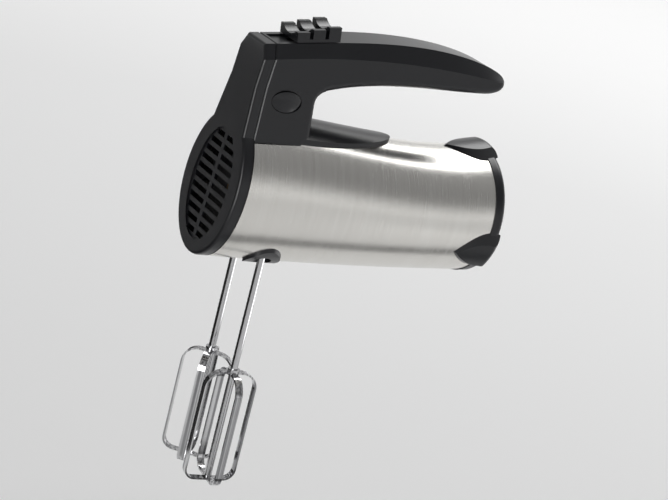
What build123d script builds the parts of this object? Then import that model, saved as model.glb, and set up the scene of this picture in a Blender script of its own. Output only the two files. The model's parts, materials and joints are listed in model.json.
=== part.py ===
from build123d import *
import os
from math import atan, cos, pi, radians, sin, sqrt, tan

# Hand mixer, millimetres. Model frame: X runs along the motor shaft with the nose at -X, Z is
# up along the beaters, and the two beater axes stand at x = 0, y = -/+ half the spacing. The
# files are written about the middle of the hand grip, which is the reference point of the part.

# Drive: one worm on the motor shaft turns two worm wheels, one for each beater
BEATER_SPACING = 36.0
GEAR_MODULE = 1.0
WHEEL_TEETH = 27
WHEEL_WIDTH = 9.0
TOOTH_ROOT_SHARE = 0.225
TOOTH_TIP_SHARE = 0.09
TOOTH_ROOM = 0.2
WORM_TURNS = 5
WORM_ADDENDUM = 0.9
WORM_ROOM = 0.25
PRESSURE_ANGLE = 20.0
WORM_THREAD_SHARE = 0.27
SHAFT_R = 3.0
RUNNING_GAP = 0.06
FREE_GAP = 0.4

# Gear case, a moulding with a lid, that carries the drive
CASE_WALL = 2.2
WHEEL_ROOM = 0.8
CASE_HALF_LENGTH = 25.0
CASE_ROOM = 2.8
LID_THICK = 3.0
BUSH_WALL = 2.0
BOSS_WALL = 2.5
SPINDLE_R = 5.5
SPINDLE_TOP_REACH = 7.0
LID_BOSS = 4.0
BOSS_RISE = 14.0
MOUTH_RISE = 8.0
DECK_POST_X = 18.0
DECK_POST_Y = 12.0
DECK_POST_R = 4.0
HANDLE_SCREW_R = 1.6
SCREW_BITE = 6.0
GUIDE_POST_Y = 8.0
GUIDE_POST_R = 2.0
CASE_CORNER = 6.0

# Body: a steel sleeve, drawn as one smooth form through four oval stations
SHEET = 0.8
NOSE_X = -52.0
NOSE_Z = 4.2
NOSE_PINCH = 1.3
NOSE_RISE = 0.4
WAIST_Z = 2.9
WAIST_HALF_HEIGHT = 48.2
MID_X = 98.0
MID_Z = -0.3
MID_FLARE = 2.0
MID_DROP = 4.2
HEEL_X = 170.0
HEEL_Z = 3.5
HEEL_FLARE = 4.4
HEEL_DROP = 3.4

# Handle: deck that closes the sleeve, pillar, finger gap, grip and the tongue below the gap
DECK_Z = 40.7
DECK_TILT = 1.35
DECK_LIP = 0.5
WALL = 2.4
GAP_FRONT_X = 11.4
GAP_CENTRE_Z = 66.9
GAP_R = 9.6
UNDER_SLOPE = 0.32
UNDER_END_SLOPE = 0.06
TAIL_SLOPE = 0.3
NOSE_SLOPE = 0.1
TONGUE_ROOT_X = 5.0
TONGUE_TIP_X = 83.0
TONGUE_HALF_WIDTH = 23.0
TONGUE_PROUD = 3.0
GRIP_HALF_WIDTH = 18.5
PILLAR_FLARE = 5.2
PILLAR_FLARE_TOP = 74.0
PILLAR_RISE = 7.0
GRIP_EDGE_R = 5.0
GAP_EDGE_R = 4.0
ROOF_HALF_WIDTH = 12.5
ROOF_LIFT = 0.4
UNDER_MID_X = 92.0
UNDER_MID_Z = 85.7
UNDER_END_X = 138.0
UNDER_END_Z = 86.9
TAIL_X = 152.5
TAIL_Z = 96.0
TOP_END_X = 140.0
TOP_END_Z = 104.6
TOP_PEAK_X = 78.0
TOP_PEAK_Z = 112.2
TOP_FRONT_Z = 99.6
PARTING_FRONT_Z = 89.0
PARTING_PEAK_Z = 101.4
GRIP_X = 80.0
GRIP_Z = 98.5

# Front cover: a leaning face with a deep edge and a louvred oval vent
FACE_X = -41.2
FACE_LEAN = 5.2
COVER_DEPTH = 8.0
COVER_WALL = 2.5
COVER_EDGE_R = 2.2
JOINT_BEVEL = 0.8
VENT_HALF_WIDTH = 25.5
VENT_HALF_HEIGHT = 38.0
VENT_RECESS = 1.2
VENT_SPINE = 4.0
VENT_RIM = 2.2
LOUVRE_PITCH = 6.6
LOUVRE_OPEN = 3.2
LOUVRE_LEAN = 28.0
LOUVRE_CUT = 15.0
COVER_POST_R = 4.0
COVER_POST_Y = 24.0
COVER_SPIGOT = 4.0

# Rear cap with three leaf-shaped lobes that lap over the sleeve
CAP_FRONT_X = 155.0
CAP_LENGTH = 8.6
CAP_EDGE_R = 4.0
CAP_PROUD = 0.6
CAP_WALL = 2.6
CAP_SPIGOT = 6.0
LOBE_REACH = 26.5
LOBE_HALF_WIDTH = 16.5
LOBE_PROUD = 4.3
LOBE_TIP_PROUD = 1.0
INLET_R = 4.2
INLET_Z = -16.0
GLAND_WALL = 1.6
GLAND_FLANGE_R = 8.0
GLAND_FLANGE = 2.0
CAP_SCREW_Z = 14.0
CAP_SCREW_R = 1.6
CAP_POST_R = 4.0

# Motor
STACK_FRONT_X = 49.0
STACK_LENGTH = 34.0
STACK_HALF_WIDTH = 30.0
STACK_HALF_HEIGHT = 25.0
STACK_CORNER = 10.0
CORE_R = 15.0
AIR_GAP = 0.6
CORE_SLOTS = 12
SLOT_WIDTH = 2.2
SLOT_DEPTH = 6.0
SLOT_LINER = 0.2
END_TURN = 7.0
COIL_WIDTH = 9.0
COIL_HEIGHT = 8.0
COIL_CORNER = 7.2
POLE_HALF_HEIGHT = 13.0
STACK_SCREW_EDGE = 3.5
SCREW_EAR_R = 3.5
SCREW_HEAD = 2.0
SCREW_HEAD_RATIO = 2.0
EAR_PLATE = 3.0
COIL_LINER = 0.3
FAN_X = 31.0
FAN_ROOM = 1.0
FAN_BLADES = 12
FAN_DISC = 1.6
FAN_DEPTH = 9.0
FAN_BLADE_THICK = 1.2
FAN_HUB_R = 6.0
COMM_R = 9.0
COMM_LENGTH = 12.0
COMM_BARS = 12
COMM_GROOVE = 0.6
COMM_GAP = 4.0
BRUSH_WIDTH = 6.0
BRUSH_HEIGHT = 5.0
BRUSH_LENGTH = 9.0
BRUSH_TUBE = 1.2
BRUSH_TIP = 1.5
BRUSH_SPRING_TURNS = 3
BRUSH_SPRING = 7.0
BRACKET_GAP = 6.0
BRACKET_THICK = 5.0
BEARING_R = 6.5
BEARING_LENGTH = 7.0
BEARING_SEAT = 2.0
MOTOR_SCREW_R = 1.75

# Release: an oval button in the pillar pushes a wedge, a fork and two pins on the beaters
BUTTON_X = -10.6
BUTTON_Z = 67.5
BUTTON_HALF_LENGTH = 10.5
BUTTON_HALF_HEIGHT = 6.8
BUTTON_TRAVEL = 5.0
BUTTON_PROUD = 1.6
BUTTON_THICK = 7.0
GUIDE_WALL = 1.6
GUIDE_DEPTH = 7.0
STEM_ROOM = 1.6
BUTTON_CROWN = 2.0
STEM_SIZE = 8.0
FORK_THICK = 4.0
FORK_WIDTH = 9.0
FORK_CLEARANCE = 0.5
PIN_R = 1.9
PIN_HEAD = 1.6
RELEASE_SPRING_TURNS = 4
RELEASE_SPRING_R = 5.0
SPRING_WIRE = 0.9
WIRE_SIDES = 4

# Speed slide, with three thumb ribs, over a flat seat in the grip
SLIDE_X = 6.0
SLIDE_LENGTH = 31.0
SLIDE_WIDTH = 25.0
SLIDE_TRAVEL = 12.0
SLIDE_BASE = 2.0
SLIDE_RIBS = 3
RIB_LENGTH = 8.6
RIB_FRONT_HEIGHT = 4.6
RIB_STEP = 1.5
RIB_DISH = 3.4
RIB_WING = 3.4
SEAT_DEPTH = 0.2
TRACK_WIDTH = 17.0
TRACK_DEPTH = 1.2
SLIDE_LEG_WIDTH = 4.0
SLIDE_LEG_LENGTH = 7.0
SWITCH_HEIGHT = 9.0
SWITCH_WIDTH = 15.0
SWITCH_LENGTH = 34.0
SWITCH_DROP = 3.0
SWITCH_POST_X = 13.5
SWITCH_POST_R = 3.0
LEG_BITE = 4.0

# Beaters: a shaft with drive wings and two crossing loops of flat strip
BEATER_SHAFT_R = 2.5
BEATER_FIT = 0.08
INSERT_DEPTH = 40.0
EXIT_Z = -41.0
EXPOSED_LENGTH = 160.0
CAGE_LENGTH = 80.0
CAGE_WIDTH = 37.0
CAGE_SHOULDER_R = 12.0
CAGE_TOE_R = 8.0
STRIP_WIDTH = 5.0
EYE_WALL = 1.3
STRIP_THICK = 1.2
LEFT_CAGE_TURN = -5.0
CAGE_PHASE = 45.0
WING_SPAN = 4.6
WING_THICK = 1.4
WING_LENGTH = 7.0
WING_GAP = 0.35
GROOVE_DROP = 8.0
GROOVE_DEPTH = 0.6
GROOVE_WIDTH = 2.0
RIVET_R = 4.0
RIVET_HEIGHT = 2.0
COLLAR_R = 12.0
COLLAR_PROUD = 1.8
COLLAR_NECK_R = 8.5
COLLAR_ROOM = 1.0

# Sizes that follow from the ones above
WHEEL_PITCH_R = GEAR_MODULE * WHEEL_TEETH / 2
WHEEL_TIP_R = WHEEL_PITCH_R + GEAR_MODULE
WHEEL_ROOT_R = WHEEL_PITCH_R - (1 + TOOTH_ROOM) * GEAR_MODULE
WORM_PITCH_R = BEATER_SPACING / 2 - WHEEL_PITCH_R
WORM_TIP_R = WORM_PITCH_R + WORM_ADDENDUM * GEAR_MODULE
WORM_ROOT_R = WORM_PITCH_R - (1 + WORM_ROOM) * GEAR_MODULE
CASE_HALF_WIDTH = BEATER_SPACING / 2 + WHEEL_TIP_R + WHEEL_ROOM + CASE_WALL
CASE_INNER_H = WHEEL_WIDTH / 2 + WHEEL_ROOM + RUNNING_GAP
CASE_HALF_HEIGHT = max(CASE_INNER_H, SHAFT_R + BUSH_WALL + CASE_WALL, WORM_TIP_R + WHEEL_ROOM) + CASE_WALL
BUSH_R = SPINDLE_R + BUSH_WALL
BOSS_R = BUSH_R + BOSS_WALL
WAIST_HALF_WIDTH = CASE_HALF_WIDTH + CASE_ROOM + SHEET
LID_Z = CASE_HALF_HEIGHT
LID_TOP_Z = LID_Z + LID_THICK
SPINDLE_TOP_Z = LID_TOP_Z + SPINDLE_TOP_REACH
BORE_R = BEATER_SHAFT_R + BEATER_FIT
BEATER_TOP_Z = EXIT_Z + INSERT_DEPTH
TIP_Z = EXIT_Z - EXPOSED_LENGTH
CAGE_TOP_Z = TIP_Z + CAGE_LENGTH
BOSS_BOTTOM_Z = EXIT_Z + BOSS_RISE
SPINDLE_MOUTH_Z = EXIT_Z + MOUTH_RISE
PIN_HEAD_Z = SPINDLE_TOP_Z + BUTTON_TRAVEL + FORK_CLEARANCE
FORK_Z = PIN_HEAD_Z + PIN_HEAD + FORK_CLEARANCE
STACK_BACK_X = STACK_FRONT_X + STACK_LENGTH
COMM_X = STACK_BACK_X + END_TURN + COMM_GAP
BRACKET_X = COMM_X + COMM_LENGTH + BRACKET_GAP
SHAFT_BACK_X = BRACKET_X + BEARING_LENGTH + BEARING_SEAT
FAR = 400.0
LAP = 1.0


def cyl(radius, start, end, axis="Z"):
    """A round bar on an axis of the model, from start to end along it."""
    bar = extrude(Circle(radius), amount=end - start)
    turned = {"Z": Rot(0, 0, 0), "X": Rot(0, 90, 0), "Y": Rot(-90, 0, 0)}[axis]
    offset = {"Z": (0, 0, start), "X": (start, 0, 0), "Y": (0, start, 0)}[axis]
    return Pos(*offset) * turned * bar


def tube(outer, inner, start, end, axis="Z"):
    return cyl(outer, start, end, axis) - cyl(inner, start - LAP, end + LAP, axis)


def block(x0, x1, y0, y1, z0, z1):
    return Pos((x0 + x1) / 2, (y0 + y1) / 2, (z0 + z1) / 2) * Box(x1 - x0, y1 - y0, z1 - z0)


def spring(radius, wire, length, turns):
    """A compression spring standing on z = 0, a square wire swept along a helix."""
    path = Helix(pitch=(length - wire) / turns, height=length - wire, radius=radius)
    start = path @ 0
    wire_end = Plane(origin=start, z_dir=path % 0) * RegularPolygon(wire / 2, WIRE_SIDES)
    return Pos(0, 0, wire / 2) * sweep(wire_end, path=path, is_frenet=True)


# Outer forms that several pieces share

def body_form(inset):
    """The smooth oval body, drawn in by an inset."""
    w = WAIST_HALF_WIDTH - inset
    h = WAIST_HALF_HEIGHT - inset
    stations = (
        (NOSE_X, NOSE_Z, w - NOSE_PINCH, h + NOSE_RISE),
        (0.0, WAIST_Z, w, h),
        (MID_X, MID_Z, w + MID_FLARE, h - MID_DROP),
        (HEEL_X, HEEL_Z, w + HEEL_FLARE, h - HEEL_DROP),
    )
    ovals = []
    for x, z, half_width, half_height in stations:
        plane = Plane(origin=(x, 0, z), x_dir=(0, 1, 0), z_dir=(1, 0, 0))
        ovals.append(plane * Ellipse(half_width, half_height))
    return loft(ovals)


def deck_plane(raise_by=0.0):
    tilt = radians(DECK_TILT)
    return Plane(origin=(0, 0, DECK_Z + raise_by), x_dir=(cos(tilt), 0, sin(tilt)),
                 z_dir=(-sin(tilt), 0, cos(tilt)))


def deck_height(x):
    return DECK_Z + x * tan(radians(DECK_TILT))


def face_plane(back=0.0):
    """The leaning plane of the front face, moved back into the body."""
    lean = radians(FACE_LEAN)
    return Plane(origin=(FACE_X + back, 0, 0), x_dir=(0, -1, 0), z_dir=(-cos(lean), 0, sin(lean)))


def face_x(z, back=0.0):
    return FACE_X + back + z * tan(radians(FACE_LEAN))


def tongue_tip():
    """Plan of the tongue's long rounded end, open towards the nose."""
    oval = Pos(TONGUE_ROOT_X, 0) * Ellipse(TONGUE_TIP_X - TONGUE_ROOT_X, TONGUE_HALF_WIDTH)
    return extrude(oval, amount=FAR, both=True) + block(-FAR, TONGUE_ROOT_X, -FAR, FAR, -FAR, FAR)


def deck_footprint():
    """What the handle covers on the deck, as a prism that stands on it."""
    plan = section(body_form(-DECK_LIP), section_by=deck_plane())
    return extrude(plan, amount=GAP_CENTRE_Z - DECK_Z) & tongue_tip()


def handle_front(inset):
    """Pillar and grip seen from the front: upright sides that flare below the grip."""
    w = GRIP_HALF_WIDTH - inset
    foot_z = DECK_Z - GAP_R
    foot_w = w + PILLAR_FLARE * (PILLAR_FLARE_TOP - foot_z) / (PILLAR_FLARE_TOP - DECK_Z)
    points = [(-foot_w, foot_z), (foot_w, foot_z), (w, PILLAR_FLARE_TOP), (w, FAR), (-w, FAR),
              (-w, PILLAR_FLARE_TOP)]
    return extrude(Plane.YZ * make_face(Polyline(*points, close=True)), amount=FAR, both=True)


def gap_end(inset):
    """Where the round front of the finger gap runs into the underside of the grip."""
    lean = atan(UNDER_SLOPE)
    reach = GAP_R + inset
    return GAP_FRONT_X + GAP_R - reach * sin(lean), GAP_CENTRE_Z + reach * cos(lean)


def grip_top(inset):
    """The long curve of the grip's upper side, from the tail to the nose."""
    return Spline((TOP_END_X - inset / 2, TOP_END_Z - inset), (TOP_PEAK_X, TOP_PEAK_Z - inset),
                  (NOSE_X, TOP_FRONT_Z - inset), tangents=((-1, TAIL_SLOPE), (-1, -NOSE_SLOPE)))


def parting_line(inset):
    """The joint line between the two halves of the grip, from behind the tail to the nose."""
    return Spline((TAIL_X + WALL, TAIL_Z), (TOP_PEAK_X, PARTING_PEAK_Z - inset),
                  (NOSE_X, PARTING_FRONT_Z - inset))


def ridge_line(inset):
    """The upper edge of the sloping shoulders, just over the top of the grip."""
    end_z = TOP_END_Z - TAIL_SLOPE * (TAIL_X + WALL - TOP_END_X)
    rise = ROOF_LIFT - inset
    return Spline((TAIL_X + WALL, end_z + rise), (TOP_PEAK_X, TOP_PEAK_Z + rise),
                  (NOSE_X, TOP_FRONT_Z + rise), tangents=((-1, TAIL_SLOPE), (-1, -NOSE_SLOPE)))


def above(line):
    """Everything above a line that runs from behind the tail to the nose, as a side view."""
    back, front = (TAIL_X + WALL, FAR), (NOSE_X, FAR)
    return Plane.XZ * make_face([line, Line(line @ 0, back), Line(back, front), Line(front, line @ 1)])


def shoulder_cut(inset):
    """The wedges that lean the grip's roof in, one on each side above the joint line."""
    ridge, joint = above(ridge_line(inset)), above(parting_line(inset))
    roof_w, side_w = ROOF_HALF_WIDTH - inset, GRIP_HALF_WIDTH - inset
    return [loft([Pos(0, side * roof_w, 0) * ridge, Pos(0, side * side_w, 0) * joint], ruled=True)
            for side in (-1, 1)]


def grip_prism(inset):
    """The grip from the side: root, underside, tail and top, drawn in by an inset."""
    end_x, end_z = gap_end(inset)
    with BuildSketch(Plane.XZ) as side:
        with BuildLine():
            top = grip_top(inset)
            root = Line((NOSE_X, end_z - UNDER_SLOPE * (end_x - NOSE_X)), (end_x, end_z))
            under = Spline(root @ 1, (UNDER_MID_X, UNDER_MID_Z + inset), (UNDER_END_X, UNDER_END_Z + inset),
                           tangents=((1, UNDER_SLOPE), (1, UNDER_END_SLOPE)))
            Spline(under @ 1, (TAIL_X - inset, TAIL_Z), top @ 0,
                   tangents=((1, UNDER_END_SLOPE), (-1, TAIL_SLOPE)))
            Line(top @ 1, root @ 0)
        make_face()
    return extrude(side.sketch, amount=GRIP_HALF_WIDTH - inset, both=True)


def pillar_prism():
    """Pillar from the side, round the front of the finger gap."""
    crown_z = PILLAR_FLARE_TOP + PILLAR_RISE
    with BuildSketch(Plane.XZ) as side:
        with BuildLine():
            deck = Line((NOSE_X, deck_height(NOSE_X)), (GAP_FRONT_X, deck_height(GAP_FRONT_X)))
            rear = Line(deck @ 1, (GAP_FRONT_X, GAP_CENTRE_Z))
            gap = TangentArc(rear @ 1, gap_end(0), tangent=(0, 1))
            brow = Line(gap @ 1, (GAP_FRONT_X, crown_z))
            crown = Line(brow @ 1, (NOSE_X, crown_z))
            Line(crown @ 1, deck @ 0)
        make_face()
    prism = extrude(side.sketch, amount=FAR, both=True) & handle_front(0)
    gap_edges = [e for e in prism.edges() if abs(e.center().Y) > LAP and on_gap(e)]
    return fillet(gap_edges, GAP_EDGE_R)


def on_gap(edge):
    """Whether an edge of the pillar runs along the front of the finger gap."""
    middle = edge.center()
    return abs(middle.X - GAP_FRONT_X) < GAP_R / 2 and middle.Z < gap_end(0)[1]


def handle_form():
    """Grip, pillar and tongue as one smooth solid that stands on the deck."""
    grip = grip_prism(0)
    under_x = gap_end(0)[0]
    long_edges = [e for e in grip.edges() if abs(e.center().Y) > LAP and e.center().X > under_x + LAP]
    grip = fillet(long_edges, GRIP_EDGE_R) - shoulder_cut(0)
    pillar = pillar_prism()
    foot = deck_footprint()
    waist_z = GAP_CENTRE_Z - GAP_R / 2
    lower = pillar & foot & block(-FAR, FAR, -FAR, FAR, -FAR, waist_z)
    upper = pillar & block(-FAR, FAR, -FAR, FAR, waist_z, FAR)
    tongue = foot & body_form(-TONGUE_PROUD) & handle_front(0)
    return grip + lower + upper + tongue


def handle_cavity():
    """The hollow of grip and pillar, one wall inside the handle's skin."""
    floor_z = deck_height(0) + WALL
    shaft = block(NOSE_X, GAP_FRONT_X - WALL, -FAR, FAR, floor_z, PILLAR_FLARE_TOP + PILLAR_RISE)
    return grip_prism(WALL) - shoulder_cut(WALL) + (shaft & handle_front(WALL))


def behind(shape, plane):
    return split(shape, bisect_by=plane, keep=Keep.BOTTOM)


def ahead(shape, plane):
    return split(shape, bisect_by=plane, keep=Keep.TOP)


def parting_upper():
    """Everything above the joint line between the two halves of the grip."""
    return extrude(above(parting_line(0)), amount=FAR, both=True)


def top_height(x):
    """Height of the grip's upper side over a place along the body."""
    line = grip_top(0)
    low, high = 0.0, 1.0
    for _ in range(40):
        middle = (low + high) / 2
        if (line @ middle).X > x:
            low = middle
        else:
            high = middle
    return (line @ low).Y


def slide_frame():
    """Seat of the speed slide: origin on the seat, x towards the tail, z out of the grip."""
    front, back = SLIDE_X - SLIDE_LENGTH / 2, SLIDE_X + SLIDE_LENGTH / 2
    slope = (top_height(back) - top_height(front)) / (back - front)
    origin = Vector(SLIDE_X, 0, top_height(SLIDE_X) - SEAT_DEPTH)
    return Plane(origin=origin, x_dir=(1, 0, slope), z_dir=(-slope, 0, 1))


# Casing

def steel_sleeve():
    """Sleeve of thin steel: cut on a lean at the nose, straight at the heel, open at the deck."""
    skin = behind(body_form(0) - body_form(SHEET), face_plane(COVER_DEPTH))
    skin &= block(-FAR, CAP_FRONT_X, -FAR, FAR, -FAR, FAR)
    skin -= deck_footprint()
    for side in (-1, 1):
        skin -= Pos(0, side * BEATER_SPACING / 2, 0) * cyl(COLLAR_NECK_R + FREE_GAP, -FAR, 0)
    return skin


def vent_slots():
    """Louvre slots in two columns that follow the oval of the vent."""
    slots = []
    count = int(VENT_HALF_HEIGHT / LOUVRE_PITCH)
    for row in range(-count, count + 1):
        z = row * LOUVRE_PITCH
        reach = (VENT_HALF_WIDTH - VENT_RIM) * sqrt(max(0.0, 1 - (z / VENT_HALF_HEIGHT) ** 2))
        length = reach - VENT_SPINE / 2
        if length < 2 * LOUVRE_OPEN:
            continue
        for side in (-1, 1):
            middle = side * (VENT_SPINE / 2 + length / 2)
            cut = Box(LOUVRE_CUT, length, LOUVRE_OPEN)
            slots.append(Pos(face_x(WAIST_Z + z), middle, WAIST_Z + z) * Rot(0, LOUVRE_LEAN, 0) * cut)
    return slots


def front_cover(form, cavity):
    """Moulded nose: leaning face, deep edge, louvred vent and a spigot inside the sleeve."""
    shell = form + body_form(0)
    shell = ahead(behind(shell, face_plane()), face_plane(COVER_DEPTH))
    front, back = shell.faces().filter_by(face_plane()).sort_by(Axis.X)
    shell = chamfer(back.outer_wire().edges(), JOINT_BEVEL)
    front = shell.faces().filter_by(face_plane()).sort_by(Axis.X)[0]
    shell = fillet(front.outer_wire().edges(), COVER_EDGE_R)
    shell -= behind(cavity + body_form(WALL), face_plane(COVER_WALL))
    lip = body_form(SHEET + RUNNING_GAP) - body_form(SHEET + WALL)
    lip = ahead(behind(lip, face_plane(COVER_DEPTH - LAP)), face_plane(COVER_DEPTH + COVER_SPIGOT))
    lip &= behind(block(-FAR, FAR, -FAR, FAR, -FAR, FAR), deck_plane(-FREE_GAP))
    shell += lip
    dish = face_plane(VENT_RECESS) * Pos(0, WAIST_Z) * Ellipse(VENT_HALF_WIDTH, VENT_HALF_HEIGHT)
    shell -= extrude(dish, amount=FAR)
    for side in (-1, 1):
        post = cyl(COVER_POST_R, face_x(0, COVER_WALL / 2), -CASE_HALF_LENGTH, "X")
        shell += Pos(0, side * COVER_POST_Y, 0) * post
    return shell - vent_slots()


def handle_halves(form, cavity):
    """Lower half with pillar and tongue, and the upper half over the grip."""
    shell = behind(form, face_plane(COVER_DEPTH))
    front = shell.faces().filter_by(face_plane())[0]
    joint = [e for e in front.outer_wire().edges() if e.center().Z > DECK_Z + GAP_R]
    shell = chamfer(joint, JOINT_BEVEL) - cavity
    upper = parting_upper()
    return shell - upper, shell & upper


def handle_body(lower):
    """Lower handle moulding with its deck passage and the guide of the release button."""
    hole_x = STEM_SIZE / 2 + STEM_ROOM
    lower -= block(BUTTON_X - hole_x, BUTTON_X + hole_x, -hole_x, hole_x, 0, deck_height(0) + 2 * WALL)
    oval = Ellipse(BUTTON_HALF_LENGTH + FREE_GAP, BUTTON_HALF_HEIGHT + FREE_GAP)
    collar = Ellipse(BUTTON_HALF_LENGTH + FREE_GAP + GUIDE_WALL, BUTTON_HALF_HEIGHT + FREE_GAP + GUIDE_WALL)
    place = Plane(origin=(BUTTON_X, 0, BUTTON_Z), x_dir=(1, 0, 0), z_dir=(0, -1, 0))
    start = button_face() - WALL - GUIDE_DEPTH
    lower += Pos(0, -start, 0) * extrude(place * collar, amount=GUIDE_DEPTH)
    lower -= extrude(place * oval, amount=FAR)
    for x, y in deck_post_places():
        floor_z = deck_height(x) + WALL
        if x < 0:
            lower += Pos(x, y, 0) * cyl(DECK_POST_R, floor_z - WALL / 2, floor_z + SCREW_BITE)
        lower -= Pos(x, y, 0) * cyl(HANDLE_SCREW_R, 0, floor_z + SCREW_BITE)
    return lower


def handle_top(upper):
    """Upper grip moulding with the flat seat and slot of the speed slide and two switch posts."""
    seat = slide_frame()
    ahead_x = SLIDE_TRAVEL + FREE_GAP
    half = SLIDE_LENGTH / 2
    flat = block(-half - ahead_x, half + FREE_GAP, -SLIDE_WIDTH, SLIDE_WIDTH, 0, FAR)
    track = block(-half - ahead_x, half - FREE_GAP, -TRACK_WIDTH / 2, TRACK_WIDTH / 2, -TRACK_DEPTH, FAR)
    leg_half, leg_y = SLIDE_LEG_LENGTH / 2 + FREE_GAP, SLIDE_LEG_WIDTH / 2 + FREE_GAP
    slot = block(-leg_half - SLIDE_TRAVEL, leg_half, -leg_y, leg_y, -FAR, FAR)
    for end in (-1, 1):
        post = cyl(SWITCH_POST_R, -SWITCH_DROP, -TRACK_DEPTH)
        upper += seat * Pos(switch_x() + end * SWITCH_POST_X, 0, 0) * post
    return upper - seat * flat - seat * track - seat * slot


def lobe_leaf():
    """Leaf outline that points at the nose, with sloping sides: two cones that cross."""
    tip_x = CAP_FRONT_X - LOBE_REACH
    root_x = CAP_FRONT_X + CAP_LENGTH / 2
    length = root_x - tip_x
    side_r = (length ** 2 + LOBE_HALF_WIDTH ** 2) / (2 * LOBE_HALF_WIDTH)
    base_z = sqrt((WAIST_HALF_WIDTH + HEEL_FLARE) ** 2 - LOBE_HALF_WIDTH ** 2)
    rise = side_r / 2
    flank = Pos(root_x, 0, base_z) * Cone(side_r + rise, side_r - rise, 2 * rise)
    offset = side_r - LOBE_HALF_WIDTH
    return Pos(0, offset, 0) * flank & Pos(0, -offset, 0) * flank


def rear_cap():
    """Heel moulding: a rounded cap, a spigot in the sleeve, and three leaf lobes lapped over it."""
    back_x = CAP_FRONT_X + CAP_LENGTH
    cap = body_form(-CAP_PROUD) & block(CAP_FRONT_X, back_x, -FAR, FAR, -FAR, FAR)
    cap = fillet(cap.faces().sort_by(Axis.X)[-1].edges(), CAP_EDGE_R)
    ends = []
    for x, proud in ((CAP_FRONT_X - LOBE_REACH - LAP, LOBE_TIP_PROUD), (back_x, LOBE_PROUD)):
        ends.append(section(body_form(-proud), section_by=Plane(origin=(x, 0, 0), z_dir=(1, 0, 0))))
    swell = loft(ends)
    swell = fillet(swell.faces().sort_by(Axis.X)[-1].edges(), CAP_EDGE_R) - body_form(0)
    leaf = lobe_leaf()
    for turn in (0, 120, 240):
        cap += swell & (Pos(0, 0, HEEL_Z) * Rot(turn, 0, 0) * leaf)
    cap -= body_form(CAP_WALL) & block(0, back_x - CAP_WALL, -FAR, FAR, -FAR, FAR)
    lip = body_form(SHEET + RUNNING_GAP) - body_form(SHEET + CAP_WALL)
    cap += lip & block(CAP_FRONT_X - CAP_SPIGOT, CAP_FRONT_X + LAP, -FAR, FAR, -FAR, FAR)
    cap += Pos(0, 0, CAP_SCREW_Z) * cyl(CAP_POST_R, BRACKET_X + BRACKET_THICK, back_x - CAP_WALL / 2, "X")
    cap -= Pos(0, 0, CAP_SCREW_Z) * cyl(CAP_SCREW_R, 0, FAR, "X")
    cap -= Pos(0, 0, CAP_SCREW_Z) * cyl(SCREW_HEAD_RATIO * CAP_SCREW_R, back_x - CAP_WALL, FAR, "X")
    return cap - Pos(0, 0, INLET_Z) * cyl(INLET_R + GLAND_WALL, CAP_FRONT_X, FAR, "X")


def cord_gland():
    """Bush that lines the cord inlet in the rear cap, with a flange outside."""
    back_x = CAP_FRONT_X + CAP_LENGTH
    neck = cyl(INLET_R + GLAND_WALL, back_x - CAP_WALL, back_x, "X")
    flange = cyl(GLAND_FLANGE_R, back_x, back_x + GLAND_FLANGE, "X")
    bush = neck + flange - cyl(INLET_R, 0, FAR, "X")
    return Pos(0, 0, INLET_Z) * bush


def socket_collar(side):
    """Black ring round a beater socket, curved like the sleeve, with a neck up to the gear case."""
    shift = Pos(0, side * BEATER_SPACING / 2, 0)
    outside = body_form(-COLLAR_PROUD)
    ring = shift * cyl(COLLAR_R, -FAR, BOSS_BOTTOM_Z) & outside
    neck = shift * cyl(COLLAR_NECK_R, -FAR, BOSS_BOTTOM_Z) & outside
    return ring - body_form(0) + neck - shift * cyl(SPINDLE_R + COLLAR_ROOM, -FAR, 0)


# Gear case

def gear_case():
    """Tub for worm and wheels with two spindle bosses below and shaft seats at both ends."""
    outer = RectangleRounded(2 * CASE_HALF_LENGTH, 2 * CASE_HALF_WIDTH, CASE_CORNER)
    inner = RectangleRounded(2 * (CASE_HALF_LENGTH - CASE_WALL), 2 * (CASE_HALF_WIDTH - CASE_WALL),
                             CASE_CORNER - CASE_WALL)
    tub = Pos(0, 0, -CASE_HALF_HEIGHT) * extrude(outer, amount=CASE_HALF_HEIGHT + LID_Z)
    tub -= Pos(0, 0, -CASE_HALF_HEIGHT + CASE_WALL) * extrude(inner, amount=FAR)
    for side in (-1, 1):
        shift = Pos(0, side * BEATER_SPACING / 2, 0)
        tub += shift * cyl(BOSS_R, BOSS_BOTTOM_Z, -CASE_HALF_HEIGHT + CASE_WALL)
        tub -= shift * cyl(BUSH_R, -FAR, 0)
    seat_r = SHAFT_R + BUSH_WALL
    ear_z = motor_screw_places()[1][1] + SCREW_EAR_R
    plate_x = CASE_HALF_LENGTH + EAR_PLATE
    tub += block(CASE_HALF_LENGTH, plate_x, -SCREW_EAR_R, SCREW_EAR_R, -ear_z, ear_z)
    for y, z in motor_screw_places():
        tub += Pos(0, y, z) * cyl(SCREW_EAR_R, CASE_HALF_LENGTH, STACK_FRONT_X, "X")
    for y, z in motor_screw_places():
        tub -= Pos(0, y, z) * cyl(MOTOR_SCREW_R, plate_x, FAR, "X")
    return tub - cyl(seat_r, -FAR, FAR, "X")


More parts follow.
